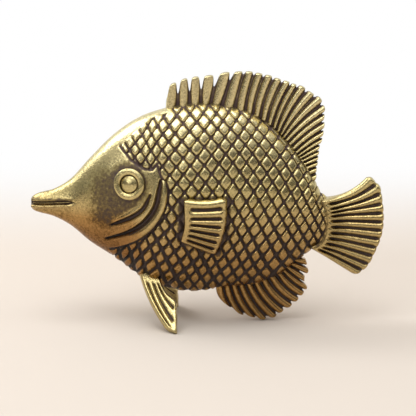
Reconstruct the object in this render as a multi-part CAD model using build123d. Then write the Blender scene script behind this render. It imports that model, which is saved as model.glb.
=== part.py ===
"""A small cast brass fish that stands on its own fins.

Two flat-backed flank castings meet on the fish's middle plane, their scales parted by crossing grooves. The
dorsal, tail and anal fins carry thin tongues that lie in pockets between them. The pectoral and pelvic fins
are pegged into the flanks, the gill covers lie on them, and each eye is a ring with a domed pupil, seated in a
round socket.
Millimetres, +Z up, head towards -X, the floor at Z = 0, left flank towards -Y.
"""

import os

from build123d import *

# Body, as sections across the length: (place along X, belly height, back height, half thickness)
BODY_SECTIONS = [
    (-22.45, 14.5, 16.2, 0.7),
    (-21.6, 14.2, 16.6, 1.0),
    (-19.5, 13.6, 17.2, 1.4),
    (-17.5, 12.5, 18.4, 1.9),
    (-15.0, 10.4, 21.1, 2.8),
    (-12.0, 8.4, 24.1, 3.9),
    (-9.0, 6.1, 26.2, 4.8),
    (-5.5, 4.4, 27.5, 5.3),
    (-1.5, 3.9, 28.2, 5.5),
    (2.5, 4.5, 27.9, 5.2),
    (6.0, 4.8, 26.7, 4.5),
    (9.0, 6.0, 24.4, 3.6),
    (11.5, 7.9, 21.6, 2.8),
    (13.5, 9.4, 18.5, 2.0),
    (15.2, 9.7, 16.0, 1.4),
]

# Fins in the middle plane
FIN_THICKNESS = 1.4
FIN_WEB = 0.8
TONGUE_THICKNESS = 0.9
TONGUE_DEPTH = 1.8
POCKET_CLEARANCE = 0.05
GROOVE_WIDTH = 0.42
NOTCH_WIDTH = 0.3

# Dorsal fin: free edge from the first spine round to the tail, points (X, Z)
DORSAL_EDGE = [
    (-5.2, 27.5), (-5.0, 30.2), (-1.6, 31.5), (3.9, 32.3), (7.6, 31.9),
    (12.0, 30.2), (14.5, 28.3), (15.0, 26.8), (14.4, 23.3), (13.8, 19.6), (13.75, 18.4),
]
DORSAL_RIM = DORSAL_EDGE[1:]
DORSAL_RAYS = 25
DORSAL_SPINES = 6
DORSAL_BOW = 0.5
SPINE_NOTCH = 2.3
RAY_NOTCH = 0.6

# Tail fin: free edge from the top of its root, at the body's end, round to the bottom
TAIL_EDGE = [
    (15.2, 15.8), (17.5, 17.0), (20.3, 18.95), (21.6, 18.0), (22.36, 14.6),
    (22.36, 11.4), (21.0, 8.2), (19.2, 6.05), (17.5, 7.1), (15.2, 8.9),
]
TAIL_RIM = TAIL_EDGE[2:8]
TAIL_RAYS = 12
TAIL_TONGUE_HEIGHT = 4.2
TAIL_TONGUE_Z = 12.9

# Anal fin: free edge from its front root round to the tail
ANAL_EDGE = [
    (1.4, 5.2), (2.3, 2.4), (4.0, 0.75), (7.4, -0.12), (9.6, 0.5),
    (11.7, 2.45), (12.75, 4.3), (13.0, 6.6), (12.3, 8.4),
]
ANAL_RIM = ANAL_EDGE[1:]
ANAL_RAYS = 13
ANAL_BOW = 0.45

# Pectoral fins: outline in the plane of the flank's skin, from the fin's centre, points (aft, up)
PECTORAL_X = -0.6
PECTORAL_Z = 13.4
PECTORAL_OUTLINE = [
    (-2.7, 2.0), (-2.1, 3.2), (2.7, 3.4), (3.1, 2.9), (2.9, 0.9), (2.2, -1.4), (1.1, -3.4),
    (0.5, -3.5), (-2.6, -1.9), (-2.4, 0.2),
]
PECTORAL_PROUD = 1.1
PECTORAL_RAYS = 7
PECTORAL_GROOVE_DEPTH = 0.4
PECTORAL_RIM = 0.5

# Pelvic fins: outline in the blade's own plane, from its root, points (aft, up the blade)
PELVIC_X = -7.4
PELVIC_Y = 1.9
PELVIC_Z = 5.85
PELVIC_SPLAY = 40.5
PELVIC_OUTLINE = [
    (-1.5, 1.3), (-0.6, -1.6), (0.35, -4.0), (1.4, -5.8), (2.5, -7.5), (3.4, -8.3), (3.95, -7.3),
    (3.7, -5.4), (3.55, -3.2), (2.3, -1.5), (1.9, 1.3),
]
PELVIC_ROOT_LINE = [(-1.2, -0.3), (2.0, -1.3)]
PELVIC_TIP_LINE = [(3.2, -7.8), (3.55, -3.2)]
PELVIC_THICKNESS = 1.3
PELVIC_RAYS = 4
PELVIC_GROOVE_DEPTH = 0.3

# Pegs that hold the paired fins
PEG_RADIUS = 0.6
PEG_LENGTH = 1.8
PEG_CLEARANCE = 0.03

# Gill covers: rear edge, then front edge, points (X, Z)
GILL_REAR_EDGE = [(-5.5, 19.1), (-5.0, 17.2), (-6.0, 14.8), (-9.1, 11.5), (-12.5, 10.2)]
GILL_FRONT_EDGE = [(-12.8, 11.2), (-9.8, 12.5), (-7.0, 14.9), (-5.9, 17.6)]
GILL_PROUD = 0.45

# Eyes: radii and heights from the skin
EYE_X = -9.75
EYE_Z = 18.6
EYE_RADIUS = 2.0
EYE_RING_WALL = 0.65
EYE_RING_PROUD = 0.6
EYE_RING_ROUND = 0.25
EYE_SOCKET_DEPTH = 0.9
EYE_CLEARANCE = 0.04
PUPIL_GROOVE_WIDTH = 0.2
PUPIL_GROOVE_DEPTH = 0.4
PUPIL_DOME = 0.3

# Scales: rhombs in staggered rows, in patches of so many by so many with a groove around each patch
SCALE_LENGTH = 1.62
SCALE_HEIGHT = 2.38
SCALES_PER_SIDE = 2
PATCH_X = 6.41
PATCH_Z = 23.3
PATCH_ROWS = range(-9, 4)
PATCH_COLUMNS = range(-6, 4)
SCALE_GROOVE_WIDTH = 0.45
SCALE_GROOVE_DEPTH = 0.3
SCALE_MARGIN = 0.05

# Front of the scaled area, from the belly up behind the gill cover and the eye to the first spine
SCALE_FRONT = [
    (-12.0, 9.3), (-9.4, 10.7), (-7.2, 12.4), (-5.4, 14.9), (-4.7, 17.0), (-5.1, 19.3), (-6.3, 21.2),
    (-7.4, 20.7), (-9.6, 21.8), (-10.9, 23.1), (-8.5, 25.4), (-7.0, 26.6), (-4.9, 28.5),
]
SCALE_REAR_X = 14.6

# Groove across the cheek, points (X, Z)
CHEEK_GROOVE = [(-7.2, 17.2), (-8.1, 15.6), (-9.4, 14.5), (-12.2, 13.2)]

# Mouth
MOUTH_LENGTH = 5.2
MOUTH_Z = 15.5
MOUTH_GAP = 0.3
MOUTH_CORE = 0.5

# A size larger than the whole fish, for cuts that run right through
FAR = 60.0


def body_core(thicker=0.0, taller=0.0):
    """The whole body with no fins; each section can be made thicker and taller by so much to each side."""
    sections = []
    for x, belly, back, half_thickness in BODY_SECTIONS:
        across = Plane(origin=(x, 0, (belly + back) / 2), x_dir=(0, 1, 0), z_dir=(1, 0, 0))
        sections.append(across * Ellipse(half_thickness + thicker, (back - belly) / 2 + taller))
    return loft(sections)


BODY = body_core()


def profile_heights(x):
    """Belly and back heights of the body on the middle plane at x."""
    hits = [p.Z for p, _ in BODY.find_intersection_points(Axis((x, 0, -FAR), (0, 0, 1)))]
    return min(hits), max(hits)


def skin_plane(x, z):
    """A plane on the left flank's skin at (x, z), with its normal outwards and its own x towards the tail."""
    hits = BODY.find_intersection_points(Axis((x, -FAR, z), (0, 1, 0)))
    point, normal = min(hits, key=lambda hit: hit[0].Y)
    if normal.Y > 0:
        normal = normal * -1
    tailwards = Vector(0, 0, 1).cross(normal) * -1
    return Plane(origin=point, x_dir=tailwards, z_dir=normal)


ABOVE_FLOOR = Pos(0, 0, FAR / 2) * Box(2 * FAR, 2 * FAR, FAR)


def slot_face(start, end, bow, half_width, overshoot):
    """A wedge from start to past end, growing from nothing, its middle pushed aside by bow."""
    start, end = Vector(*start), Vector(*end)
    along = (end - start).normalized()
    side = Vector(-along.Y, along.X)
    tip = end + along * overshoot
    middle = (start + tip) * 0.5 + side * bow
    half = side * half_width
    corners = [start, middle + half / 2, tip + half, tip - half, middle - half / 2]
    return make_face(Polyline(*corners, close=True))


def both_sides(face, web, depth):
    """Prisms of a face on the middle plane, outside a web left standing between them."""
    near = extrude(Plane.XZ.offset(web / 2) * face, depth)
    return [near, mirror(near, about=Plane.XZ)]


def median_plate(edge, inner_points, thickness):
    """A flat plate on the middle plane, bounded by its free edge and by a line inside the body."""
    inner = Polyline(edge @ 1, *inner_points, edge @ 0)
    return extrude(Plane.XZ * make_face([edge, inner]), thickness / 2, both=True)


def ribbed(blade, root, rim_points, ray_count, bow, notch_lengths):
    """A fin's blade with grooves between its rays, from root to rim, and notches at the rim."""
    rim = Spline(*rim_points)
    cuts = []
    for gap in range(1, ray_count):
        base, tip = root @ (gap / ray_count), rim @ (gap / ray_count)
        groove = slot_face(base, tip, bow, GROOVE_WIDTH / 2, FIN_THICKNESS)
        cuts += both_sides(groove, FIN_WEB, FIN_THICKNESS)
        inwards = (base - tip).normalized() * notch_lengths(gap)
        notch = slot_face(tip + inwards, tip, 0, NOTCH_WIDTH / 2, FIN_THICKNESS)
        cuts.append(extrude(Plane.XZ * notch, FIN_THICKNESS, both=True))
    return blade - cuts


def tongued_fin(edge_points, inner_points):
    """A plain fin that follows the body's skin, with a tongue inside the body, and its pocket."""
    edge = Spline(*edge_points)
    blade = (median_plate(edge, inner_points, FIN_THICKNESS) - BODY) & ABOVE_FLOOR
    tongue = median_plate(edge, inner_points, TONGUE_THICKNESS) & BODY
    pocket = median_plate(edge, inner_points, TONGUE_THICKNESS + 2 * POCKET_CLEARANCE)
    return blade + tongue, pocket


def dorsal_fin():
    """The fin on the back, its first rays parted as spines, and its pocket."""
    first, last = DORSAL_EDGE[0][0], DORSAL_EDGE[-1][0]
    places = [first + (last - first) * share for share in (0, 0.2, 0.4, 0.6, 0.75, 0.87, 0.96)]
    backs = [(x, profile_heights(x)[1]) for x in places]
    inner = [(x, z - TONGUE_DEPTH) for x, z in backs[::-1]]
    plain, pocket = tongued_fin(DORSAL_EDGE, inner)

    def notch(gap):
        return SPINE_NOTCH if gap < DORSAL_SPINES else RAY_NOTCH

    return ribbed(plain, Spline(*backs), DORSAL_RIM, DORSAL_RAYS, DORSAL_BOW, notch), pocket


def anal_fin():
    """The fin under the tail, its lowest edge cut flat to stand on, and its pocket."""
    first, last = ANAL_EDGE[0][0], ANAL_EDGE[-1][0]
    places = [first + (last - first) * share for share in (0, 0.3, 0.6, 0.8, 0.95)]
    bellies = [(x, profile_heights(x)[0]) for x in places]
    inner = [(x, z + TONGUE_DEPTH) for x, z in bellies[::-1]]
    plain, pocket = tongued_fin(ANAL_EDGE, inner)
    return ribbed(plain, Spline(*bellies), ANAL_RIM, ANAL_RAYS, ANAL_BOW, lambda gap: RAY_NOTCH), pocket


def tail_fin():
    """The tail's fan with a straight tongue into the body's end, and its pocket."""
    root_x = TAIL_EDGE[0][0]
    half_height = TAIL_TONGUE_HEIGHT / 2
    rays_x = root_x + GROOVE_WIDTH
    root = Line((rays_x, TAIL_TONGUE_Z + half_height), (rays_x, TAIL_TONGUE_Z - half_height))
    fan = median_plate(Spline(*TAIL_EDGE), [], FIN_THICKNESS)
    slack = 2 * POCKET_CLEARANCE
    tongue = Box(2 * TONGUE_DEPTH, TONGUE_THICKNESS, TAIL_TONGUE_HEIGHT)
    pocket = Box(2 * TONGUE_DEPTH + slack, TONGUE_THICKNESS + slack, TAIL_TONGUE_HEIGHT + slack)
    at_root = Pos(root_x, 0, TAIL_TONGUE_Z)
    plain = fan + at_root * tongue
    return ribbed(plain, root, TAIL_RIM, TAIL_RAYS, 0, lambda gap: RAY_NOTCH), at_root * pocket


def peg_and_hole(plane, hole_top):
    """A peg into the body below a plane, and its hole, which starts hole_top above the plane."""
    from_top = (Align.CENTER, Align.CENTER, Align.MAX)
    peg = plane * Cylinder(PEG_RADIUS, PEG_LENGTH, align=from_top)
    hole_depth = hole_top + PEG_LENGTH + PEG_CLEARANCE
    hole = plane.offset(hole_top) * Cylinder(PEG_RADIUS + PEG_CLEARANCE, hole_depth, align=from_top)
    return peg, hole


def pectoral_fin():
    """The left pectoral fin on its peg, and the hole that the peg needs."""
    skin = skin_plane(PECTORAL_X, PECTORAL_Z)
    outline = make_face(Polyline(*PECTORAL_OUTLINE, close=True))
    pad = extrude(skin * outline, PECTORAL_PROUD, both=True) - BODY
    groove_floor = skin.offset(PECTORAL_PROUD - PECTORAL_GROOVE_DEPTH)
    front = Line(PECTORAL_OUTLINE[1], PECTORAL_OUTLINE[8])
    rear = Line(PECTORAL_OUTLINE[3], PECTORAL_OUTLINE[6])
    grooves = []
    for gap in range(1, PECTORAL_RAYS):
        base, rim = front @ (gap / PECTORAL_RAYS), rear @ (gap / PECTORAL_RAYS)
        inset = (rim - base).normalized() * PECTORAL_RIM
        groove = slot_face(base + inset, rim - inset, 0, GROOVE_WIDTH / 2, 0)
        grooves.append(extrude(groove_floor * groove, PECTORAL_PROUD))
    peg, hole = peg_and_hole(skin, PECTORAL_PROUD)
    return (pad - grooves) + (peg & BODY), hole


def pelvic_fin():
    """The left pelvic fin on its peg, with its tip cut flat to stand on, and the hole that the peg needs."""
    root = Vector(PELVIC_X, -PELVIC_Y, PELVIC_Z)
    up_blade = Vector(0, 0, 1).rotate(Axis.X, -PELVIC_SPLAY)
    blade_plane = Plane(origin=root, x_dir=(1, 0, 0), z_dir=Vector(1, 0, 0).cross(up_blade))
    outline = make_face(Polyline(*PELVIC_OUTLINE, close=True))
    blade = extrude(blade_plane * outline, PELVIC_THICKNESS / 2, both=True) - BODY
    bases, rims = Line(*PELVIC_ROOT_LINE), Line(*PELVIC_TIP_LINE)
    grooves = []
    for gap in range(1, PELVIC_RAYS):
        share = gap / PELVIC_RAYS
        face = slot_face(bases @ share, rims @ share, 0, GROOVE_WIDTH / 2, 0)
        for outwards in (1, -1):
            floor = blade_plane.offset(outwards * (PELVIC_THICKNESS / 2 - PELVIC_GROOVE_DEPTH))
            grooves.append(extrude(floor * face, outwards * PELVIC_THICKNESS))
    peg, hole = peg_and_hole(Plane(origin=root, x_dir=(1, 0, 0), z_dir=up_blade * -1), PELVIC_THICKNESS)
    return ((blade - grooves) & ABOVE_FLOOR) + (peg & BODY), hole


def gill_cover():
    """The left gill cover: a crescent as thick as it stands proud of the flank."""
    rear = Spline(*GILL_REAR_EDGE)
    front = Spline(*GILL_FRONT_EDGE)
    crescent = make_face([rear, Line(rear @ 1, front @ 0), front, Line(front @ 1, rear @ 0)])
    column = extrude(Plane.XZ * crescent, FAR)
    return (column & body_core(GILL_PROUD)) - BODY


def eye():
    """The left eye's ring and pupil, and the socket that the ring needs."""
    skin = skin_plane(EYE_X, EYE_Z)
    bore = EYE_RADIUS - EYE_RING_WALL
    from_floor = (Align.CENTER, Align.CENTER, Align.MIN)
    floor = skin.offset(-EYE_SOCKET_DEPTH)
    height = EYE_SOCKET_DEPTH + EYE_RING_PROUD
    ring = Cylinder(EYE_RADIUS, height, align=from_floor) - Cylinder(bore, height, align=from_floor)
    ring = fillet(ring.edges().group_by(Axis.Z)[-1], EYE_RING_ROUND)
    base = Cylinder(bore - EYE_CLEARANCE, height - PUPIL_GROOVE_DEPTH, align=from_floor)
    button = Cylinder(bore - PUPIL_GROOVE_WIDTH, height, align=from_floor)
    pupil = base + fillet(button.edges().group_by(Axis.Z)[-1], PUPIL_DOME)
    socket = Cylinder(EYE_RADIUS + EYE_CLEARANCE, 2 * height, align=from_floor)
    return floor * ring, floor * pupil, floor * socket


def scale_patches():
    """Rhombs of scales on the middle plane, each narrowed on all sides by half a groove."""
    length, height = SCALES_PER_SIDE * SCALE_LENGTH, SCALES_PER_SIDE * SCALE_HEIGHT
    between_sides = length * height / Vector(length, height).length
    share = 1 - SCALE_GROOVE_WIDTH / between_sides
    tip, top = (share * length / 2, 0), (0, share * height / 2)
    patch = make_face(Polyline(tip, top, Vector(*tip) * -1, Vector(*top) * -1, close=True))
    patches = []
    for row in PATCH_ROWS:
        for column in PATCH_COLUMNS:
            x = PATCH_X + (column + row % 2 / 2) * length
            patches.append(Pos(x, PATCH_Z + row * height / 2) * patch)
    return patches


def skin_grooves():
    """The grooves between the left flank's scales and across its cheek, all down to one depth under the skin."""
    rear = [(SCALE_REAR_X, SCALE_FRONT[-1][1]), (SCALE_REAR_X, 0), (SCALE_FRONT[0][0], 0)]
    area = make_face(Polyline(*SCALE_FRONT, *rear, close=True))
    under_fin = Pos(PECTORAL_X, PECTORAL_Z) * make_face(Polyline(*PECTORAL_OUTLINE, close=True))
    cheek = trace(Spline(*CHEEK_GROOVE), SCALE_GROOVE_WIDTH)
    beside_fins = Plane.XZ.offset(FIN_THICKNESS / 2 + SCALE_MARGIN)
    floor = body_core(-SCALE_GROOVE_DEPTH, -SCALE_GROOVE_DEPTH)
    return [extrude(beside_fins * face, FAR) - floor for face in (area - [under_fin, *scale_patches()], cheek)]


def mouth():
    """The slit between the lips on the left side, which leaves a core on the middle plane."""
    snout = BODY_SECTIONS[0][0]
    depth = (FAR - MOUTH_CORE) / 2
    return Pos(snout, -(MOUTH_CORE + depth) / 2, MOUTH_Z) * Box(2 * MOUTH_LENGTH, depth, MOUTH_GAP)


def main():
    os.makedirs("parts", exist_ok=True)
    dorsal, dorsal_pocket = dorsal_fin()
    anal, anal_pocket = anal_fin()
    tail, tail_pocket = tail_fin()
    pectoral, pectoral_hole = pectoral_fin()
    pelvic, pelvic_hole = pelvic_fin()
    ring, pupil, socket = eye()
    left_half = Pos(0, -FAR / 2, 0) * Box(2 * FAR, FAR, 2 * FAR)
    pockets = [dorsal_pocket, anal_pocket, tail_pocket]
    holes = [pectoral_hole, pelvic_hole, socket, mouth()]
    flank = (BODY & left_half) - [*pockets, *holes, *skin_grooves()]
    middle_pieces = {"dorsal_fin": dorsal, "anal_fin": anal, "tail_fin": tail}
    paired_pieces = {
        "flank": flank,
        "pectoral_fin": pectoral,
        "pelvic_fin": pelvic,
        "gill_cover": gill_cover(),
        "eye_ring": ring,
        "pupil": pupil,
    }
    for name, shape in middle_pieces.items():
        export_step(shape, f"parts/{name}.step")
    for name, shape in paired_pieces.items():
        export_step(shape, f"parts/{name}_left.step")
        export_step(mirror(shape, about=Plane.XZ), f"parts/{name}_right.step")


main()
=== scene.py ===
# %% [markdown]
# # A small antiqued brass fish
# The figurine is cast brass, darkened in a bath and rubbed bright again on everything that stands proud.
# This lesson rebuilds it piece by piece. Every surface is a grid of points worked out with whole arrays, so
# that the cut scales, the fin rays and the grooves are real relief and not a picture on a smooth skin.

import math

import bpy
import numpy as np
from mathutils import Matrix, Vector


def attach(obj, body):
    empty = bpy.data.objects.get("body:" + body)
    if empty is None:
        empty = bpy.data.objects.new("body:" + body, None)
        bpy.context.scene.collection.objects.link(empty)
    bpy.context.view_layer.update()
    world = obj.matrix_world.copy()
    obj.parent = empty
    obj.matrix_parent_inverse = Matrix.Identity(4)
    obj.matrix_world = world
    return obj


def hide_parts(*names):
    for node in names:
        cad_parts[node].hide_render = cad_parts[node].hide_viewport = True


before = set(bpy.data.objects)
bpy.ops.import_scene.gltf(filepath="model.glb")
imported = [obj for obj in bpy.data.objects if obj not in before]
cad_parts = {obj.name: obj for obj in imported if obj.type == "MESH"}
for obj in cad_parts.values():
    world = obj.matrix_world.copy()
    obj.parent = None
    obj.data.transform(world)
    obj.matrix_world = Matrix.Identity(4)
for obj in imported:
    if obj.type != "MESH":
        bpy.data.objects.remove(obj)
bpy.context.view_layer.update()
MM = 0.001
rng = np.random.default_rng(7)
print("CAD nodes:", sorted(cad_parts))

# %% [markdown]
# ## Curves and distances
# Lengths in this script are millimetres, in the CAD model's frame: the head points to -X and the left flank
# to -Y. `through` is the one curve used everywhere: a cubic that meets each given value at its knot. Curve
# objects could do the same, but a function of plain arrays can be asked for its value at any point.

# %% Tools for curves and distances


def through(knots, values, at):
    """Cubic curve that meets values at knots. Slopes at the knots come from the neighbouring values."""
    knots, values, at = np.asarray(knots, float), np.asarray(values, float), np.asarray(at, float)
    slopes = np.gradient(values, knots, axis=0)
    i = np.clip(np.searchsorted(knots, at, side="right") - 1, 0, len(knots) - 2)
    step = knots[i + 1] - knots[i]
    f = (at - knots[i]) / step
    if values.ndim > 1:
        f, step = f[..., None], step[..., None]
    start, end = values[i], values[i + 1]
    rise = slopes[i] * (f**3 - 2 * f**2 + f) + slopes[i + 1] * (f**3 - f**2)
    return start * (2 * f**3 - 3 * f**2 + 1) + end * (3 * f**2 - 2 * f**3) + rise * step


def ease(low, high, value):
    """Smooth step: 0 below low, 1 above high, and a cubic between. low may be the larger of the two."""
    f = np.clip((value - low) / (high - low), 0, 1)
    return f * f * (3 - 2 * f)


def line_distance(points, x, z):
    """Distance from every (x, z) to a line of straight parts through points, and where on the line the
    nearest place lies, as a share of its parts."""
    best, share = np.full(np.shape(x), 1e9), np.zeros(np.shape(x))
    count = len(points) - 1
    for part, ((ax, az), (bx, bz)) in enumerate(zip(points[:-1], points[1:])):
        dx, dz = bx - ax, bz - az
        f = np.clip(((x - ax) * dx + (z - az) * dz) / (dx * dx + dz * dz), 0, 1)
        away = np.hypot(x - ax - f * dx, z - az - f * dz)
        share = np.where(away < best, (part + f) / count, share)
        best = np.minimum(away, best)
    return best, share


def smooth_line(points, count=48):
    """A line of many short parts on the curve through a few points."""
    last = len(points) - 1
    return [tuple(q) for q in through(np.arange(last + 1), points, np.linspace(0, last, count))]


def inside(points, x, z):
    """True where (x, z) lies inside a closed outline: a line to the right crosses an odd number of sides."""
    hit = np.zeros(np.shape(x), bool)
    for (ax, az), (bx, bz) in zip(points, points[1:] + points[:1]):
        if az != bz:
            hit ^= ((az > z) != (bz > z)) & (x < ax + (z - az) * (bx - ax) / (bz - az))
    return hit


print("a curve through 0, 1 and 0, half way to the first 1:", float(through([0, 1, 2], [0, 1, 0], 0.5)))

# %% [markdown]
# ## From grids to pieces
# `pillow` makes a closed sheet, such as a fin, from one grid of points and its thickness to both sides.
# `piece` makes the mesh that stands for one CAD node, and keeps two numbers on each point for the material:
# how dark it is, from patina in the grooves and from painted shade, and a painted light tone that makes the
# metal pale on top and darker and redder low down. A Solidify modifier could thicken a sheet as well, but not
# by another amount at every point.

# %% Tools for grids and mesh objects
# Where the throat lies, which is given painted shade, and the painted light tone: 0 at COOL_HEIGHT, rising
# downwards by 1 over WARM_SPAN mm, then divided by WARM_RANGE.
THROAT_X, THROAT_Z = (-7.5, -10.5), (16.5, 11.5)
COOL_HEIGHT, WARM_SPAN, WARM_RANGE = 26.0, 17.5, 1.5


def quads(index):
    """The four corners of every cell of a grid of point numbers."""
    return np.stack([index[:-1, :-1], index[1:, :-1], index[1:, 1:], index[:-1, 1:]], -1).reshape(-1, 4)


def corner_faces(index, way):
    """The cells at a grid's four corners, each as two triangles that meet on the line from the corner
    inwards. way is 1 or -1, the side that they look to."""
    faces = []
    for rows in (1, -1):
        for columns in (1, -1):
            (corner, aside), (along, inner) = index[::rows, ::columns][:2, :2].tolist()
            halves = [[corner, along, inner], [corner, inner, aside]]
            faces += halves if rows * columns * way > 0 else [f[::-1] for f in halves]
    return faces


def pillow(middle, out, front, back):
    """Closed sheet. Each point is middle + out * front on one side and middle - out * back on the other.
    On the grid's border both sides share their points. At its corners the cells are triangles, because a cell
    split across its corner would lie flat against the one on the other side."""
    inner = np.zeros(front.shape, bool)
    inner[1:-1, 1:-1] = True
    near = np.arange(front.size).reshape(front.shape)
    far = near.copy()
    far[inner] = front.size + np.arange(inner.sum())
    points = [(middle + out * front[..., None]).reshape(-1, 3), (middle - out * back[..., None])[inner]]
    kept = np.ones((front.shape[0] - 1, front.shape[1] - 1), bool)
    kept[[0, 0, -1, -1], [0, -1, 0, -1]] = False
    cells = np.concatenate([quads(near)[kept.ravel()], quads(far)[kept.ravel()][:, ::-1]])
    return np.concatenate(points), cells, corner_faces(near, 1) + corner_faces(far, -1), inner


def painted_light_tone_of(points, painted_light_share):
    """Painted light tone of each point: 0 at the top, rising evenly downwards, and more at the throat. It
    paints the metal pale on top and darker and redder below, as shade and a reflection of a brown floor. It
    stops at a limit that is low for a piece given a small share, so that such a piece, like the pelvic fins
    that face the light, stays painted bright yellow."""
    throat_shade = ease(*THROAT_X, points[:, 0]) * ease(*THROAT_Z, points[:, 2])
    limit = 0.45 + 0.55 * painted_light_share + 0.5 * throat_shade
    return np.clip((COOL_HEIGHT - points[:, 2]) / WARM_SPAN + 0.6 * throat_shade, 0, limit) / WARM_RANGE


def piece(name, points, cells, patina_and_shade, extra=(), painted_light_share=1.0):
    """Mesh object that stands for one CAD node, with two numbers on its points: darkness from 0 to 1, from
    patina and painted shade, and the painted light tone. extra holds faces that aren't cells. All are turned
    over if the cells enclose a negative volume, so that they look out."""
    a, b, c, d = (points[cells[:, k]] for k in range(4))
    volume = np.einsum("ij,ij->", a, np.cross(b, c) + np.cross(c, d))
    faces = cells.tolist() + [list(f) for f in extra]
    if volume < 0:
        faces = [f[::-1] for f in faces]
    mesh = bpy.data.meshes.new(name)
    mesh.from_pydata((points * MM).tolist(), [], faces)
    mesh.polygons.foreach_set("use_smooth", np.ones(len(mesh.polygons), bool))
    for kind, values in (("patina_and_shade", patina_and_shade), ("painted_light_tone", painted_light_tone_of(points, painted_light_share))):
        mesh.attributes.new(kind, "FLOAT", "POINT").data.foreach_set("value", values.astype(np.float32))
    mesh.update()
    obj = bpy.data.objects.new(name + "_cast", mesh)
    bpy.context.collection.objects.link(obj)
    obj.data.materials.append(BRASS)
    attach(obj, "root")
    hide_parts(name)
    print(f"{obj.name}: {len(mesh.vertices)} points, {len(mesh.polygons)} faces")
    return obj


def pair(name, points, cells, patina_and_shade, extra=(), painted_light_share=1.0):
    """A left piece and its mirror image on the right."""
    piece(name + "_left", points, cells, patina_and_shade, extra, painted_light_share)
    piece(name + "_right", points * [1, -1, 1], cells, patina_and_shade, extra, painted_light_share)


print("a grid of 3 by 4 points has", len(quads(np.arange(12).reshape(3, 4))), "cells")

# %% [markdown]
# ## Antiqued brass
# The bath turns the whole casting dark brown, then polishing brings the metal back wherever the wheel can
# reach. So one number per point is nearly enough: it says how dark a point is, from patina down in a groove,
# from a darker band over the cheek and snout, and from painted shade round the eye, at the throat, along the
# pectoral fin, on the upper side of the mouth slit and where the dorsal and anal fins meet the body. A cloudy
# noise breaks the border between dark and bright, a dull olive half tone lies between the two, and a fine
# noise gives the grain of the mould. The second number is a painted light tone: the metal is painted pale on
# top and darker and redder low down and at the throat, as shade and a reflection of a brown floor. A painted
# picture could show all this, but it would have to be drawn for each piece.

# %% Shader group for the patina and the painted light tone
# Colours of the rubbed metal along the painted light tone: pale on top where light is painted, yellow, then
# warm and red low down as painted shade and a reflection of a brown floor.
PALE_BRASS, YELLOW_BRASS = (0.72, 0.62, 0.34, 1), (0.61, 0.51, 0.24, 1)
WARM_BRASS, RED_BRASS = (0.42, 0.25, 0.09, 1), (0.29, 0.145, 0.05, 1)
OLIVE_DULLING = (0.50, 0.47, 0.39, 1)
# The patina's brown above and below: painted darker low down as shade.
BROWN_ABOVE, BROWN_BELOW = (0.095, 0.06, 0.052, 1), (0.018, 0.012, 0.009, 1)


def node(tree, kind, inputs=None, **settings):
    """New node with its settings. inputs gives a socket, by name or number, a fixed value or an output to
    read."""
    made = tree.nodes.new(kind)
    for key, value in settings.items():
        setattr(made, key, value)
    for socket, value in (inputs or {}).items():
        if isinstance(value, bpy.types.NodeSocket):
            tree.links.new(value, made.inputs[socket])
        else:
            made.inputs[socket].default_value = value
    return made


def mapped(tree, source, low, high, start=0.0, end=1.0, kind="LINEAR"):
    """Output that runs from start to end while source runs from low to high."""
    sockets = {0: source, 1: low, 2: high, 3: start, 4: end}
    made = node(tree, "ShaderNodeMapRange", sockets, interpolation_type=kind)
    return made.outputs[0]


def calculated(tree, operation, *values):
    """Output of a Math node. Each value is a number or an output to read."""
    return node(tree, "ShaderNodeMath", dict(enumerate(values)), operation=operation).outputs[0]


def blended(tree, share, first, second, way="MIX"):
    """Colour between first and second. Each of the three is a fixed value or an output to read."""
    made = node(tree, "ShaderNodeMix", data_type="RGBA", blend_type=way, inputs={0: share, 6: first, 7: second})
    return made.outputs[2]


group = bpy.data.node_groups.new("antique patina and painted light", "ShaderNodeTree")
for socket, kind, way in (
    ("Patina and shade", "NodeSocketFloat", "INPUT"),
    ("Painted light tone", "NodeSocketFloat", "INPUT"),
    ("Color", "NodeSocketColor", "OUTPUT"),
    ("Dark", "NodeSocketFloat", "OUTPUT"),
    ("Roughness", "NodeSocketFloat", "OUTPUT"),
    ("Unevenness", "NodeSocketFloat", "OUTPUT"),
):
    group.interface.new_socket(socket, in_out=way, socket_type=kind)
given = node(group, "NodeGroupInput").outputs
place = node(group, "ShaderNodeTexCoord").outputs["Object"]
cloudy = {"Vector": place, "Scale": 2400.0, "Detail": 5.0, "Roughness": 0.7}
grainy = {"Vector": place, "Scale": 4200.0, "Detail": 2.0, "Roughness": 0.6}
cloud = node(group, "ShaderNodeTexNoise", cloudy).outputs[0]
grain = node(group, "ShaderNodeTexNoise", grainy).outputs[0]
breakup = calculated(group, "MULTIPLY_ADD", cloud, 0.9, -0.45)
dark = mapped(group, calculated(group, "ADD", given["Patina and shade"], breakup), 0.15, 0.75, kind="SMOOTHSTEP")
# The painted light tone picks the rubbed metal's colour from the ramp: painted light on top, painted shade and
# reflection low down.
tone = node(group, "ShaderNodeValToRGB", {0: given["Painted light tone"]})
ramp = tone.color_ramp.elements
ramp[0].color, ramp[1].color = PALE_BRASS, RED_BRASS
ramp.new(0.3).color = YELLOW_BRASS
ramp.new(0.667).color = WARM_BRASS
speck = mapped(group, grain, 0.3, 0.7, 0.7, 1.15)
rubbed_brass_with_painted_light = blended(group, 1.0, tone.outputs[0], speck, "MULTIPLY")
half_tone = blended(group, mapped(group, dark, 0.0, 0.6), rubbed_brass_with_painted_light, OLIVE_DULLING, "MULTIPLY")
brown = blended(group, given["Painted light tone"], BROWN_ABOVE, BROWN_BELOW)
node(group, "NodeGroupOutput", {
    "Color": blended(group, mapped(group, dark, 0.35, 1.0), half_tone, brown),
    "Dark": dark,
    "Roughness": mapped(group, dark, 0.0, 1.0, 0.24, 0.55),
    "Unevenness": calculated(group, "MULTIPLY_ADD", cloud, 2.0, grain),
})
print("shader group:", group.name, "with", len(group.nodes), "nodes")

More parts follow.
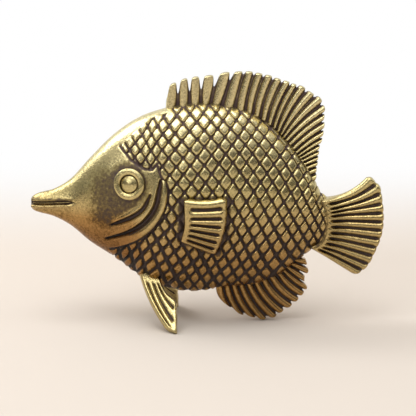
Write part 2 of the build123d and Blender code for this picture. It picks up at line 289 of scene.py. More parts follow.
# %% The brass itself
BRASS = bpy.data.materials.new("antique brass")
BRASS.use_nodes = True
tree = BRASS.node_tree
# The group's colour holds the patina and the painted light tone.
patina = node(tree, "ShaderNodeGroup", node_tree=group, inputs={
    "Patina and shade": node(tree, "ShaderNodeAttribute", attribute_name="patina_and_shade").outputs["Fac"],
    "Painted light tone": node(tree, "ShaderNodeAttribute", attribute_name="painted_light_tone").outputs["Fac"],
}).outputs
bump = node(tree, "ShaderNodeBump", {"Strength": 0.35, "Distance": 0.00005, "Height": patina["Unevenness"]})
shader = tree.nodes["Principled BSDF"].inputs
tree.links.new(patina["Color"], shader["Base Color"])
tree.links.new(patina["Roughness"], shader["Roughness"])
tree.links.new(mapped(tree, patina["Dark"], 0.5, 1.0, 1.0, 0.35), shader["Metallic"])
tree.links.new(bump.outputs["Normal"], shader["Normal"])
print("material:", BRASS.name)

# %% [markdown]
# ## Flanks
# Each flank is half of a lens-shaped body: across the length it is half an ellipse, whose belly line, back
# line and thickness run smoothly through a few sections. The scales were cut with a graver in two crossing
# sets of lines, so the relief is built the same way: two phases that rise across the flank, each with a
# groove at every whole number. They follow curves measured on the real object and wander a little, as a hand
# does. The pads between the grooves are domed and slightly tilted, so that each one catches the light
# differently.

# %% Body sections: place, belly, back, half thickness
SECTIONS = np.array([
    (-22.45, 14.5, 16.2, 0.7), (-21.6, 14.2, 16.6, 1.0), (-19.5, 13.6, 17.2, 1.4), (-17.5, 12.5, 18.4, 1.9),
    (-15.0, 10.4, 21.1, 2.8), (-12.0, 8.4, 24.1, 3.9), (-9.0, 6.1, 26.2, 4.8), (-5.5, 4.4, 27.5, 5.3),
    (-1.5, 3.9, 28.2, 5.5), (2.5, 4.5, 27.9, 5.2), (6.0, 4.8, 26.7, 4.5), (9.0, 6.0, 24.4, 3.6),
    (11.5, 7.9, 21.6, 2.8), (13.3, 9.3, 18.7, 2.0), (14.2, 9.55, 17.0, 1.65), (15.2, 9.4, 16.0, 1.35),
])


def body(x):
    """Middle height, half height and half thickness of the body at x."""
    belly, back, half = np.moveaxis(through(SECTIONS[:, 0], SECTIONS[:, 1:], x), -1, 0)
    return (belly + back) / 2, (back - belly) / 2, half


def skin_y(x, z):
    """How far the left flank's skin lies from the middle plane at (x, z), towards -Y."""
    middle, tall, half = body(x)
    return half * np.sqrt(np.clip(1 - ((z - middle) / tall) ** 2, 0, 1))


def skin_frame(x, z):
    """Point on the left skin at (x, z), with unit vectors towards the tail, up and outwards."""
    step = 0.05
    at = np.array([x, -skin_y(x, z), z])
    tail = np.array([2 * step, -skin_y(x + step, z) + skin_y(x - step, z), 0])
    up = np.array([0, -skin_y(x, z + step) + skin_y(x, z - step), 2 * step])
    out = np.cross(tail, up)
    out /= np.linalg.norm(out)
    tail /= np.linalg.norm(tail)
    return at, tail, np.cross(out, tail), out


EYE = (-9.75, 18.65)
EYE_RADIUS = 2.0
print("half thickness at the eye:", round(float(skin_y(*EYE)), 2), "mm")

# %% Lines on the skin
SCALES_FRONT = smooth_line([
    (-12.4, 9.7), (-9.8, 10.9), (-7.3, 12.5), (-5.6, 15.1), (-5.0, 17.0), (-5.1, 18.6), (-5.8, 19.6),
    (-6.3, 21.2),
], 60)
SCALES_BROW = [(-6.3, 21.2), (-7.0, 20.5), (-8.0, 20.6), (-9.6, 21.6), (-11.0, 23.1)]
SCALES_TOP = smooth_line([(-11.0, 23.1), (-9.6, 24.4), (-8.5, 25.4), (-7.0, 26.6), (-4.9, 27.3)])
FAR_ROUND = [(-4.9, 40.0), (30.0, 40.0), (30.0, -10.0), (-12.4, -10.0)]
SCALES_AREA = SCALES_FRONT + SCALES_BROW + SCALES_TOP + FAR_ROUND
CHEEK_GROOVE = smooth_line([(-7.2, 17.4), (-8.1, 15.6), (-9.4, 14.5), (-10.8, 13.8), (-12.2, 13.2)])
GILL_GROOVE = smooth_line([
    (-5.9, 19.2), (-6.1, 18.0), (-6.6, 15.8), (-7.9, 13.9), (-9.8, 12.5), (-12.9, 11.2),
])
MOUTH = [(-23.0, 15.42), (-20.0, 15.55), (-16.5, 15.8)]
PECTORAL_EDGE = [(-3.2, 16.7), (2.4, 16.8), (2.3, 13.2), (1.2, 9.9), (-3.4, 11.6), (-3.2, 16.7)]
print("lines on the skin:", len(SCALES_AREA), "points round the scales")

# %% Relief of scales and head
HALF_PITCH = 0.68
COURSE_LENGTH, COURSE_MIDDLE, COURSE_HEIGHT = 12, 16, 10
CHANCES, WORN_RAYS = 80, 40
LINE_COURSE = np.array([
    [
        [3.897, 4.107, 0.803, -0.290, -0.169, 0.267],
        [7.104, -2.034, 0.060, 1.252, 0.252, 0],
        [0.214, 1.078, 0.876, -0.646, 0, 0],
        [0.945, 2.040, -1.640, 0, 0, 0],
        [-1.476, -1.385, 0, 0, 0, 0],
        [0.980, 0, 0, 0, 0, 0],
    ],
    [
        [0.402, -4.274, 0.776, -0.975, -0.359, 0.431],
        [6.970, -0.258, 0.590, 0.339, -0.192, 0],
        [0.658, -0.828, -0.840, 0.804, 0, 0],
        [-0.418, 0.956, -0.392, 0, 0, 0],
        [-1.133, -0.839, 0, 0, 0, 0],
        [1.106, 0, 0, 0, 0, 0],
    ],
])
drift = rng.uniform(0, 2 * math.pi, (2, 5, 2))
line_shift = rng.normal(0, 0.03, (2, CHANCES))
line_width = rng.uniform(0.75, 1.3, (2, CHANCES))
pad_tarnish = rng.uniform(0, 1, (CHANCES, CHANCES))
pad_tilt = rng.normal(0, 0.09, (2, CHANCES, CHANCES))
pad_height = rng.normal(0, 0.025, (CHANCES, CHANCES))
ray_wear = rng.uniform(0, 1, WORN_RAYS)
CORNER = 4.5
HEAD_START, HEAD_PITCH, HAND_WANDER = -8.0, 1.45, 0.04


def wander(which, x, z):
    """Slow drift of a graver: a sum of waves 4 to 14 mm long in random directions, about 1 at the most."""
    total = 0
    for k, (turn, phase) in enumerate(drift[which]):
        along = x * math.cos(turn) + z * math.sin(turn)
        total = total + np.sin(along * 2 * math.pi / (4 + 2.5 * k) + phase)
    return total / 5


def scale_relief(x, z):
    """Height and recess of the scales. Two slanting coordinates have a groove at each whole number. Each is a
    polynomial of fifth degree in x and z, both scaled to near the range from -1 to 1, and before HEAD_START
    it goes on evenly towards the head. How close a point is to both grooves, from 0 to 1, is joined as the
    root of a sum of powers, which rounds the corners of the pads. Each pad is tilted and set a little by
    chance."""
    held = np.maximum(x, HEAD_START)
    width = 0.08 + 0.115 * ease(17, 6, z) + 0.03 * ease(0, -8, x)
    close, wide, nearest, dome, pads, within = 0, 0, 0, 1, [], []
    for which, course in enumerate(LINE_COURSE):
        along, up = held / COURSE_LENGTH, (z - COURSE_MIDDLE) / COURSE_HEIGHT
        place = np.polynomial.polynomial.polyval2d(along, up, course)
        place = place + (x - held) / HEAD_PITCH + HAND_WANDER * wander(which, x, z)
        number = np.floor(place + 0.5).astype(int)
        away = np.abs(place - number - line_shift[which][number % CHANCES]) * 2
        near = np.clip(1 - away, 0, 1)
        wide = np.where(near > nearest, width * line_width[which][number % CHANCES] / HALF_PITCH, wide)
        nearest = np.maximum(near, nearest)
        close = close + near**CORNER
        dome = dome * (1 - near**4)
        pads.append(np.floor(place).astype(int) % CHANCES)
        within.append(place - np.floor(place) - 0.5)
    close = close ** (1 / CORNER)
    groove = ease(1 - 1.7 * wide, 1 - 0.5 * wide, close)
    height = 0.22 * dome - 0.22 * groove - 0.12
    pad = tuple(pads)
    tilt = pad_tilt[0][pad] * within[0] + pad_tilt[1][pad] * within[1] + pad_height[pad]
    height = height + tilt * (1 - groove)
    patina_and_shade = ease(1 - 1.3 * wide, 1 - 0.65 * wide, close)
    tarnish = 0.28 * pad_tarnish[pad] * ease(26, 20, z)
    return height, np.maximum(patina_and_shade, tarnish)


def cut(points, x, z, half, depth):
    """A groove along a line: its depth and recess fall off across it, and it thins out towards both ends.
    Also gives how well the wheel rubbed the lip beside it, a bell curve round 2.4 half widths from the
    line."""
    away, share = line_distance(points, x, z)
    half = half * (0.35 + 0.65 * np.sin(math.pi * np.clip(share, 0.03, 0.97)) ** 0.5)
    lip = 0.13 * np.exp(-(((away - 2.0 * half) / (0.7 * half)) ** 2)) * np.sin(math.pi * share)
    rubbed = np.exp(-(((away - 2.4 * half) / (1.6 * half)) ** 2)) * np.sin(math.pi * share) ** 0.5
    down = lip - depth * (1 - ease(0.2 * half, 1.7 * half, away))
    return down, 1 - ease(0.5 * half, 1.25 * half, away), rubbed


def relief(x, z):
    """Height over the plain skin and darkness, for a whole grid: scales, head grooves, mouth and eye seat. The
    darkness is patina in the grooves, a darker band over the cheek and snout, and painted shade at the throat,
    on the mouth slit's upper side, along the pectoral fin and round the eye.
    """
    front, _ = line_distance(SCALES_FRONT, x, z)
    brow, _ = line_distance(SCALES_BROW, x, z)
    border = np.minimum(np.minimum(front, brow), line_distance(SCALES_TOP, x, z)[0])
    signed = np.where(inside(SCALES_AREA, x, z), border, -border)
    scaled = ease(-0.08, 0.15, signed) * ease(15.2, 14.7, x)
    height, patina_and_shade = scale_relief(x, z)
    edge = np.maximum(1 - ease(0.06, 0.3, front), 1 - ease(0.08, 0.28, brow))
    height = height * scaled - 0.1 * edge
    patina_and_shade = np.maximum(patina_and_shade * scaled, 0.9 * edge)
    cheek = 0.56 * ease(-17.5, -13, x) * ease(23.0, 18.5, z) * ease(11.0, 14.0, z) * ease(-6.5, -8.0, x)
    # Painted shade: the throat, which faces down, is darkened.
    throat_shade = 0.34 * ease(14.4, 11.8, z)
    snout = ease(-15.5, -18, x) * np.maximum(0.5 * np.exp(-(((z - 16.05) / 0.35) ** 2)), 0.3)
    patina_and_shade = np.maximum(patina_and_shade, (1 - scaled) * np.maximum(np.maximum(cheek, throat_shade), snout))
    for line, half, depth in ((CHEEK_GROOVE, 0.24, 0.35), (GILL_GROOVE, 0.26, 0.4)):
        down, dark, rubbed = cut(line, x, z, half, depth)
        height = height + down * (1 - scaled)
        patina_and_shade = np.maximum(patina_and_shade * (1 - 0.75 * rubbed * (1 - scaled)), dark)
    away, share = line_distance(MOUTH, x, z)
    lips = np.exp(-((away - 0.42) / 0.2) ** 2) * ease(1.0, 0.8, share) * np.where(z < 15.55, 1.8, 0.8)
    away = away + 0.3 * ease(0.8, 1.0, share)
    slit = 1 - ease(0.12, 0.32, away)
    height = height + 0.1 * lips - 0.35 * slit + 0.1 * slit * (1 - ease(0.0, 0.15, away))
    # Patina in the mouth slit, reaching further on its upper side as painted shade, so that the lower lip is
    # left bright as if lit from above.
    slit_patina_and_shade = np.where(z < 15.5, away + 0.1, away)
    patina_and_shade = np.maximum(patina_and_shade, (1 - ease(0.2, 0.34, slit_patina_and_shade)) * (0.2 + 0.8 * ease(0.04, 0.14, away)))
    seat = np.hypot(x - EYE[0], z - EYE[1]) / EYE_RADIUS
    # Painted shade on the flank along the pectoral fin's edge, fading out over 1 mm.
    shade = 0.75 * (1 - ease(0.0, 1.0, line_distance(PECTORAL_EDGE, x, z)[0]))
    patina_and_shade = np.maximum(patina_and_shade, shade)
    # Painted shade round the eye, where the ring sits on the cheek: dark out to 0.9 of the eye's radius, fading
    # out by 1.95 radii, or by 1.25 radii on the side towards the tail.
    eye_shade = 0.7 * (1 - ease(0.9, 1.95 - 0.7 * ease(-9, -7.5, x), seat))
    return height, np.maximum(patina_and_shade, eye_shade)


print("each set of scale lines: about", 2 * HALF_PITCH, "mm from groove to groove")

# %% Flank meshes
columns = np.concatenate([np.linspace(-22.45, -12, 70)[:-1], np.linspace(-12, 15.2, 300)])
turns = np.linspace(0, math.pi, 258)
x, turn = np.meshgrid(columns, turns, indexing="ij")
middle, tall, half = body(x)
blunt = 0.55 + 0.45 * np.sqrt(1 - np.clip((-21.9 - x) / 0.56, 0, 1) ** 2)
plain = np.stack([x, -half * blunt * np.sin(turn), middle + tall * blunt * np.cos(turn)], -1)
normal = np.cross(np.gradient(plain, axis=0), np.gradient(plain, axis=1))
normal /= np.linalg.norm(normal, axis=-1, keepdims=True)
normal *= np.where(normal[:, len(turns) // 2, 1] > 0, -1, 1)[:, None, None]
z = plain[..., 2]
height, patina_and_shade = relief(x, z)
beside = 1 - ease(0.7, 1.6, -plain[..., 1])
height = height * (1 - 0.65 * beside * ease(-13, -11, x))
# Painted shade and patina in the corner where the dorsal and anal fins meet the body: the flank is darkened
# within about 1.6 mm of the middle plane.
under_dorsal = ease(-5.2, -4.4, x) * ease(13.9, 13.2, x)
over_anal = ease(1.0, 2.0, x) * ease(13.0, 12.0, x)
fin_root_shade = np.where(z > middle, under_dorsal, over_anal)
patina_and_shade = np.maximum(patina_and_shade, 0.5 * beside * fin_root_shade)
patina_and_shade = np.maximum(patina_and_shade, 0.5 * ease(14.8, 15.2, x))
skin = plain + normal * height[..., None]
skin[..., 1] = np.minimum(skin[..., 1], 0)
skin[:, [0, -1], 1] = 0
skin[..., 0] = np.clip(skin[..., 0], -22.45, 15.2)
index = np.arange(x.size).reshape(x.shape)
flat_back = np.stack([index[1:, 0], index[:-1, 0], index[:-1, -1], index[1:, -1]], -1)
cells = np.concatenate([quads(index), flat_back[:, ::-1]])
ends = [index[0].tolist(), index[-1].tolist()[::-1]]
pair("flank", skin.reshape(-1, 3), cells, patina_and_shade.ravel(), ends)

# %% [markdown]
# ## The ribbed fins
# Every fin is one pillow: `u` counts the rays and `v` runs from the root to the tip. A ray is a rounded
# ridge, the grooves between rays are thin webs left dark, and the tip of each ray stands a little past the
# groove beside it.

# %% One function for all fins
LONG_RAY = 3.5


def fin_grid(roots, tips, bow, notch, tip=lambda u: 0.25, corner=0.3, ragged=0.0, samples=20, rows=56,
             sink=0.5, heel=0.0):
    """Grid of a fin in its own plane. Rays start at roots and end at tips, both as (ray number, across, up).
    Along a ray the point is a curve of second degree, bent aside by bow. Between two rays it ends short by
    notch, and the end of a ray is a round arc, tip high. corner rounds off the two outer rays, and ragged
    takes a chance length off each tip. sink starts the rays inside the body, and heel lifts the outer rays'
    roots. Returns the points, how far each lies from its ray's middle (0) to the groove (1), how far out it
    lies on the outer rays' free half (0 to 1), its share of the ray, the ray's length, and where thin threads
    of rubbed metal lie in the grooves."""
    roots, tips = np.array(roots, float), np.array(tips, float)
    last = int(tips[-1, 0])
    u = np.linspace(-0.5, last + 0.5, (last + 1) * samples + 1)
    from_ray = np.abs(u - np.floor(u + 0.5)) * 2
    outer = np.clip(np.maximum(-u, u - last) * 2, 0, 1)
    start = through(roots[:, 0], roots[:, 1:], u)
    end = through(tips[:, 0], tips[:, 1:], u)
    along = end - start
    length = np.linalg.norm(along, axis=1)
    side = np.stack([-along[:, 1], along[:, 0]], -1) / length[:, None]
    v = np.linspace(0, 1, rows) ** 0.8
    arc = 1 - np.sqrt(1 - np.clip(from_ray / 0.75, 0, 1) ** 2)
    wear = ragged * ray_wear[np.clip(np.floor(u + 0.5), 0, last).astype(int)]
    lost = notch(u) * ease(0.55, 1.0, from_ray) + tip(u) * arc + corner * outer**2 + wear
    short = 1 - lost * np.clip(length / LONG_RAY, 0, 1) / length
    reach = v * short[:, None]
    reach = reach * (1 + sink / length[:, None]) - sink / length[:, None]
    reach = reach + (heel * outer**3 / length)[:, None] * (1 - v)
    held = np.clip(reach, 0, 1)
    bend = (4 * bow(u))[:, None, None] * side[:, None] * (held * (1 - held))[..., None]
    flat = start[:, None] + along[:, None] * reach[..., None] + bend
    gap = np.where(outer > 0, 0, from_ray)[:, None] + 0 * reach
    own_wear = ray_wear[np.floor(u).astype(int) % WORN_RAYS]
    thread = ease(0.35, 0.7, own_wear) * np.clip(1 - (1 - from_ray) / 0.15, 0, 1)
    thread = np.where(outer > 0, 0, thread)[:, None] + 0 * reach
    return flat, gap, outer[:, None] + 0 * reach, reach, length[:, None] * short[:, None], thread


def ridges(gap, outer, reach, length, thread, web, full, first=-0.2, last=2.0, rim=0.4, groove=0.4,
           threads=0.0):
    """Half thickness and recess of a fin: each ray is a round ridge from web up to full, rounded off at the
    rim. groove is the dark share of the width, larger at both ends, where a ray narrows. Grooves run from the
    share first of the length to the share last. threads says how far the threads stand up in them."""
    along = ease(first, first + 0.12, reach) * ease(last, last - 0.12, reach)
    edge = 1 - 0.6 * groove * (1.3 - 0.6 * np.sin(math.pi * np.clip(reach, 0, 1)))
    ray = 1 - (1 - np.clip(1 - (gap / edge) ** 2, 0, 1) ** 0.75) * along
    near_rim = np.clip((1 - reach / reach[:, -1:]) * length / rim, 0, 1)
    rounded = np.sqrt(1 - (1 - near_rim) ** 2)
    thread = threads * thread * along * ease(0.1, 0.3, reach) * ease(1.0, 0.8, reach)
    half = (web + (full - web) * ray + 0.15 * thread) * rounded * np.sqrt(1 - outer**2)
    half[[0, -1]] = 0
    half[:, [0, -1]] = 0
    return half, along * ease(0.6 * edge, 1.04 * edge, gap) * (1 - 0.6 * thread)


def cast_fin(name, flat, half, patina_and_shade, painted_light_share=1.0):
    """A fin on the fish's middle plane, the same on both sides."""
    middle = np.stack([flat[..., 0], 0 * flat[..., 0], flat[..., 1]], -1)
    points, cells, corners, inner = pillow(middle, np.array([0, -1.0, 0]), half, half)
    points[:, 2] = np.maximum(points[:, 2], 0)
    piece(name, points, cells, np.concatenate([patina_and_shade.ravel(), patina_and_shade[inner]]), corners, painted_light_share)


print("fin tools: one grid of rays, one relief for it, and rays that wear in", WORN_RAYS, "ways")

# %% Dorsal fin
DORSAL_TIPS = [
    (0, -4.4, 30.8), (1, -3.0, 31.3), (2, -1.6, 31.65), (3, 0.1, 31.8), (4, 2.2, 32.1), (5, 3.9, 32.3),
    (6, 5.25, 32.3), (8, 7.75, 31.8), (10, 10.0, 31.0), (12, 11.9, 30.3), (13, 13.1, 29.6),
    (14, 14.15, 28.8), (15, 14.8, 27.6), (16, 14.75, 26.5), (18, 14.65, 24.4), (20, 14.2, 22.6),
    (22, 14.0, 21.2), (24, 13.8, 19.7), (25, 13.75, 18.8),
]
DORSAL_ROOTS = [
    (0, -4.6, 27.6), (2, -1.6, 28.1), (4, 1.0, 28.1), (6, 4.1, 27.5), (8, 6.15, 26.8), (10, 7.8, 25.7),
    (12, 8.9, 24.8), (15, 10.0, 23.6), (18, 11.35, 22.1), (21, 12.2, 21.0), (24, 13.0, 19.4),
    (25, 13.3, 18.6),
]
flat, *shape = fin_grid(
    DORSAL_ROOTS, DORSAL_TIPS, bow=lambda u: 0.25 * ease(4, 8, u) * ease(22, 14, u),
    notch=lambda u: 0.25 + 0.95 * ease(5.6, 3.5, u),
    tip=lambda u: 0.12 + 0.2 * ease(5.6, 3.5, u), ragged=0.15,
)
half, patina_and_shade = ridges(*shape, web=0.26, full=0.7, rim=0.15, groove=0.3, threads=1.0)
patina_and_shade = np.maximum(patina_and_shade, 0.3 * ease(0.95, 1.0, shape[2] / shape[2][:, -1:]))
cast_fin("dorsal_fin", flat, half, patina_and_shade)

# %% Tail fin, swelling at its root to the thickness of the body's end
ROOT_SWELL = 1.0
TAIL_TIPS = [
    (0, 20.85, 18.55), (1, 21.85, 17.45), (2, 22.15, 16.0), (4, 22.4, 13.5), (6, 22.2, 11.25), (8, 21.4, 9.0),
    (10, 20.25, 6.9), (11, 19.35, 6.2),
]
TAIL_ROOTS = [
    (0, 14.5, 15.7), (1, 14.8, 15.0), (4, 15.0, 13.5), (7, 14.9, 11.4), (9, 14.3, 10.2), (11, 13.3, 9.7),
]
flat, *shape = fin_grid(
    TAIL_ROOTS, TAIL_TIPS, bow=lambda u: -0.8 * ease(3.5, -0.5, u), notch=lambda u: 0.03 + 0 * u,
    tip=lambda u: 0.06, corner=0.5
)
half, patina_and_shade = ridges(*shape, web=0.28, full=0.7, first=0.04, last=1.02, rim=0.25, groove=0.28, threads=0.7)
patina_and_shade = np.maximum(patina_and_shade, 0.5 * ease(0.06, 0.0, shape[2]))
half = half * (1 + ROOT_SWELL * ease(0.4, 0.0, shape[2]))
# The tail takes less of the painted light tone, so it is painted less dark and red low down.
cast_fin("tail_fin", flat, half, patina_and_shade, painted_light_share=0.45)

# %% Anal fin
ANAL_TIPS = [
    (0, 2.7, 1.8), (1, 4.2, 0.75), (2, 5.8, 0.3), (3, 7.2, 0.0), (4, 8.6, 0.4), (5, 9.6, 1.0),
    (7, 11.65, 2.55), (8, 12.3, 3.4), (9, 12.85, 4.2), (10, 12.4, 5.4), (11, 12.95, 6.4), (12, 12.6, 7.7),
]
ANAL_ROOTS = [(0, 1.5, 5.2), (3, 4.1, 5.2), (6, 7.2, 5.3), (8, 9.3, 6.0), (10, 10.2, 7.0), (12, 11.1, 8.0)]
flat, *shape = fin_grid(
    ANAL_ROOTS, ANAL_TIPS, bow=lambda u: -0.4 * ease(11, 6, u), notch=lambda u: 0.18 + 0.8 * ease(8.5, 10, u),
    ragged=0.15,
)
half, patina_and_shade = ridges(*shape, web=0.28, full=0.68, rim=0.2, groove=0.28, threads=0.5)
cast_fin("anal_fin", flat, half, patina_and_shade)

# %% [markdown]
# ## The paired fins and gill covers
# These sit on the skin. The pectoral fin is a ribbed pad, thick along its top edge. The pelvic fins splay out
# like the legs of a stool and carry the fish. The gill cover is a smooth rolled crescent behind the cheek.

# %% Pectoral fins
PECTORAL_ROOTS = [(0, -3.05, 16.6), (1, -3.0, 15.1), (3, -3.0, 13.6), (5, -3.25, 12.4), (6, -3.4, 11.8)]
PECTORAL_TIPS = [
    (0, 2.45, 16.7), (1, 2.45, 15.2), (2, 2.35, 13.9), (3, 2.15, 12.8), (5, 1.5, 10.75), (6, 1.15, 9.95),
]
flat, *shape = fin_grid(
    PECTORAL_ROOTS, PECTORAL_TIPS, bow=lambda u: -0.35 * ease(1.6, -0.5, u), notch=lambda u: 0 * u,
    tip=lambda u: 0.05, rows=70, sink=0.0,
    corner=0.6, heel=0.9,
)
half, patina_and_shade = ridges(*shape, web=0.7, full=1.15, first=0.1, last=0.93, rim=0.5, groove=0.29)
x, z = flat[..., 0], flat[..., 1]
middle = np.stack([x, -skin_y(x, z) + 0.1, z], -1)
points, cells, corners, inner = pillow(middle, np.array([0, -1.0, 0]), half, 0.3 * half)
pair("pectoral_fin", points, cells, np.concatenate([patina_and_shade.ravel(), patina_and_shade[inner]]), corners)

# %% Pelvic fins
SPLAY = math.radians(40.5)
PELVIC_ROOTS = [(0, -1.0, 0.7), (1, -0.2, 0.5), (2, 0.6, 0.1), (3, 1.2, -0.4)]
PELVIC_TIPS = [(0, 2.8, -7.45), (1, 3.5, -7.75), (2, 3.55, -5.6), (3, 3.5, -3.8)]
flat, *shape = fin_grid(
    PELVIC_ROOTS, PELVIC_TIPS, bow=lambda u: -0.45 + 0 * u, notch=lambda u: 0 * u,
    tip=lambda u: 0.08, corner=0.9, samples=28, rows=64
)
half, patina_and_shade = ridges(*shape, web=0.35, full=0.62, first=0.1, last=0.95, groove=0.14)
up_blade = np.array([0, math.sin(SPLAY), math.cos(SPLAY)])
out = np.array([0, -math.cos(SPLAY), math.sin(SPLAY)])
middle = np.array([-7.4, -1.9, 5.85]) + flat[..., :1] * [1, 0, 0] + flat[..., 1:] * up_blade
points, cells, corners, inner = pillow(middle, out, half, half)
points[:, 2] = np.maximum(points[:, 2], 0)
# The pelvic fins, which face up to the light, take little of the painted light tone and stay painted bright
# yellow.
pair("pelvic_fin", points, cells, np.concatenate([patina_and_shade.ravel(), patina_and_shade[inner]]), corners, painted_light_share=0.1)

# %% Gill covers
GILL_FRONT = [(-5.75, 19.3), (-5.85, 17.8), (-6.3, 15.7), (-7.6, 13.8), (-9.6, 12.3), (-12.7, 11.0)]
GILL_REAR = [(-5.3, 19.2), (-5.0, 17.4), (-5.5, 15.2), (-7.2, 12.7), (-9.6, 10.95), (-12.6, 9.85)]
steps = np.linspace(0, 5, 120)
front_edge, rear_edge = through(np.arange(6), GILL_FRONT, steps), through(np.arange(6), GILL_REAR, steps)
across, length_share = np.linspace(0, 1, 30), steps / 5
flat = front_edge[:, None] + (rear_edge - front_edge)[:, None] * across[:, None]
fullness = np.sin(math.pi * length_share) ** 0.35 * ease(1.0, 0.65, length_share)
roll = np.sqrt(np.sin(math.pi * across))[None] * fullness[:, None]
half = 0.5 * np.clip(roll, 0, 1)
half[[0, -1]] = 0
half[:, [0, -1]] = 0
x, z = flat[..., 0], flat[..., 1]
middle = np.stack([x, -skin_y(x, z) + 0.05, z], -1)
points, cells, corners, inner = pillow(middle, np.array([0, -1.0, 0]), half, 0.2 + 0 * half)
patina_and_shade = 0.8 * (1 - ease(0.03, 0.2, np.minimum(across, 1 - across))) * ease(1.0, 0.8, length_share)[:, None]
pair("gill_cover", points, cells, np.concatenate([patina_and_shade.ravel(), patina_and_shade[inner]]), corners)

# %% [markdown]
# ## The eyes
# A flat, rounded ring and a low domed button, both turned shapes: one profile swung round the eye's axis,
# which stands square to the cheek. The shallow gap between them keeps its dark patina. A lathe would cut them
# so.

# %% Rings and pupils


def turned(profile, at, tail, up, out, steps):
    """A profile of (radius, height) points swung round an axis. Its two ends are left open, for the caller to
    close."""
    profile = np.array(profile, float)
    angle = np.linspace(0, 2 * math.pi, steps, endpoint=False)
    ring = np.cos(angle)[:, None, None] * tail + np.sin(angle)[:, None, None] * up
    points = at + ring * profile[None, :, :1] + out * profile[None, :, 1:]
    index = np.arange(steps * len(profile)).reshape(steps, -1)
    index = np.concatenate([index, index[:1]])
    return points.reshape(-1, 3), index


EYE_STEPS, EYE_BOTTOM, EYE_SIDE, EYE_DOME = 96, -0.85, 0.3, 0.3
RING_OUTER, RING_INNER, RING_MIDDLE, RING_HALF = 2.0, 1.18, 1.59, 0.41
PUPIL_OUTER, PUPIL_DOME = 1.16, 1.02
frame_at_eye = skin_frame(*EYE)
arc = np.linspace(0, math.pi, 22)
rim = [(RING_MIDDLE + RING_HALF * math.cos(a), EYE_SIDE + EYE_DOME * math.sin(a) ** 0.8) for a in arc[1:-1]]
rim = [(RING_OUTER, EYE_SIDE)] + rim + [(RING_INNER, EYE_SIDE)]
profile = [(RING_OUTER, EYE_BOTTOM)] + rim + [(RING_INNER, EYE_BOTTOM)]
points, index = turned(profile, *frame_at_eye, EYE_STEPS)
index = np.concatenate([index, index[:, :1]], axis=1)
lows = np.array([0.6] + [0.5 * (1 - math.sin(a) ** 0.5) for a in arc] + [0.65])
pair("eye_ring", points, quads(index), np.tile(lows, EYE_STEPS))

swell = np.linspace(0, math.pi / 2, 16)
dome = [(PUPIL_DOME * math.cos(a), EYE_SIDE + EYE_DOME * math.sin(a) ** 2) for a in swell[:-1]]
profile = [(PUPIL_OUTER, EYE_BOTTOM), (PUPIL_OUTER, 0.2), (1.1, 0.2)] + dome
points, index = turned(profile, *frame_at_eye, EYE_STEPS)
lows = np.array([0.65, 0.65, 0.65] + [0.5 * (1 - math.sin(a)) ** 3 for a in swell[:-1]])
caps = [index[:-1, -1].tolist(), index[:-1, 0].tolist()[::-1]]
pair("pupil", points, quads(index), np.tile(lows, EYE_STEPS), caps)

# %% [markdown]
# ## Floor, light and camera
# A pale sweep of paper lies under and behind the fish, with a wide floor round it. To the camera the far part
# of the paper is plain white, and from behind the sweep can be seen through, so that it never hides the fish.
# A large soft lamp hangs overhead, a smaller one behind draws the rims, a third stands in front, and a dome
# that is brighter above fills in. A long lens looks down from a little above, as in the photo.

# %% Paper sweep
bend = np.linspace(0, math.pi / 2, 24)
line = [(-0.6, 0.0)] + [(0.10 + 0.05 * math.sin(a), 0.05 - 0.05 * math.cos(a)) for a in bend] + [(0.15, 0.6)]
wide = np.linspace(-0.6, 0.6, 3)
grid = np.array([[(w, y, h) for y, h in line] for w in wide])
index = np.arange(grid.shape[0] * grid.shape[1]).reshape(grid.shape[:2])
paper = bpy.data.meshes.new("paper")
paper.from_pydata(grid.reshape(-1, 3).tolist(), [], quads(index).tolist())
paper.polygons.foreach_set("use_smooth", np.ones(len(paper.polygons), bool))
sweep = bpy.data.objects.new("paper_sweep", paper)
bpy.context.collection.objects.link(sweep)
sheet = bpy.data.materials.new("pale paper")
sheet.use_nodes = True
tree = sheet.node_tree
matte = tree.nodes["Principled BSDF"]
matte.inputs["Base Color"].default_value = (0.66, 0.60, 0.54, 1)
matte.inputs["Roughness"].default_value = 0.9
rays = node(tree, "ShaderNodeLightPath").outputs
looked_at = calculated(tree, "MAXIMUM", rays["Is Camera Ray"], rays["Is Glossy Ray"])
looked_at = calculated(tree, "MAXIMUM", looked_at, rays["Is Transmission Ray"])
spot = node(tree, "ShaderNodeTexCoord").outputs["Object"]
depth = node(tree, "ShaderNodeSeparateXYZ", {0: spot}).outputs["Y"]
far = mapped(tree, depth, 0.03, 0.11, kind="SMOOTHSTEP")
white = node(tree, "ShaderNodeEmission", {"Strength": 1.0}).outputs[0]
share = calculated(tree, "MULTIPLY", looked_at, far)
mixed = node(tree, "ShaderNodeMixShader", {0: share, 1: matte.outputs[0], 2: white}).outputs[0]
behind = node(tree, "ShaderNodeNewGeometry").outputs["Backfacing"]
clear = node(tree, "ShaderNodeBsdfTransparent").outputs[0]
shown = node(tree, "ShaderNodeMixShader", {0: behind, 1: mixed, 2: clear}).outputs[0]
tree.links.new(shown, tree.nodes["Material Output"].inputs["Surface"])
paper.materials.append(sheet)
REACH, UNDER = 3.0, -0.0002
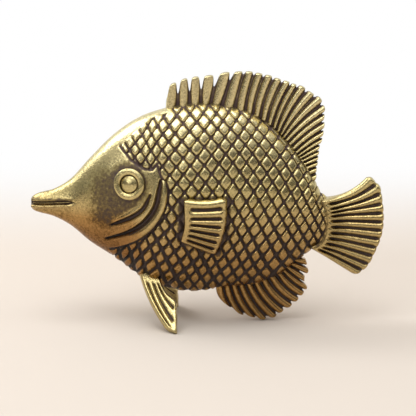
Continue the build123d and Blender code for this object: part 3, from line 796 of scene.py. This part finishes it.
corners = [(-REACH, -REACH, UNDER), (REACH, -REACH, UNDER), (REACH, REACH, UNDER), (-REACH, REACH, UNDER)]
ground = bpy.data.meshes.new("ground")
ground.from_pydata(corners, [], [(0, 1, 2, 3)])
ground.materials.append(sheet)
floor = bpy.data.objects.new("wide_floor", ground)
bpy.context.collection.objects.link(floor)
print("paper sweep and the floor round it")

# %% Lights and camera


def lamp(name, place, target, size, watts):
    """Square soft light that faces target."""
    light = bpy.data.lights.new(name, "AREA")
    light.size = size
    light.energy = watts
    obj = bpy.data.objects.new(name, light)
    obj.location = place
    obj.rotation_euler = (Vector(target) - Vector(place)).to_track_quat("-Z", "Y").to_euler()
    bpy.context.collection.objects.link(obj)


CENTRE = (0, 0, 0.01466)
lamp("overhead", (-0.05, -0.10, 0.42), CENTRE, 0.30, 0.9)
lamp("rim", (-0.22, 0.12, 0.25), CENTRE, 0.16, 0.55)
lamp("front", (-0.30, -0.45, 0.30), CENTRE, 0.25, 0.5)
world = bpy.data.worlds.new("studio")
bpy.context.scene.world = world
world.use_nodes = True
tree = world.node_tree
towards = node(tree, "ShaderNodeTexCoord").outputs["Generated"]
above = node(tree, "ShaderNodeSeparateXYZ", {0: towards}).outputs["Z"]
dome = mapped(tree, above, 0.15, 0.75, 0.08, 0.9, kind="SMOOTHSTEP")
tree.links.new(dome, tree.nodes["Background"].inputs["Strength"])
tree.nodes["Background"].inputs["Color"].default_value = (1.0, 0.98, 0.95, 1)
camera = bpy.data.cameras.new("camera")
camera.lens = 177
camera.sensor_width = 36
camera.clip_start = 0.01
viewer = bpy.data.objects.new("camera", camera)
ELEVATION, DISTANCE = math.radians(12), 0.260
viewer.location = (0, -DISTANCE * math.cos(ELEVATION), CENTRE[2] + DISTANCE * math.sin(ELEVATION))
viewer.rotation_euler = (math.pi / 2 - ELEVATION, 0, 0)
bpy.context.collection.objects.link(viewer)
bpy.context.scene.camera = viewer
bpy.context.scene.view_settings.view_transform = "Standard"
print("lamps:", len(bpy.data.lights), "lens:", camera.lens, "camera at", tuple(viewer.location))
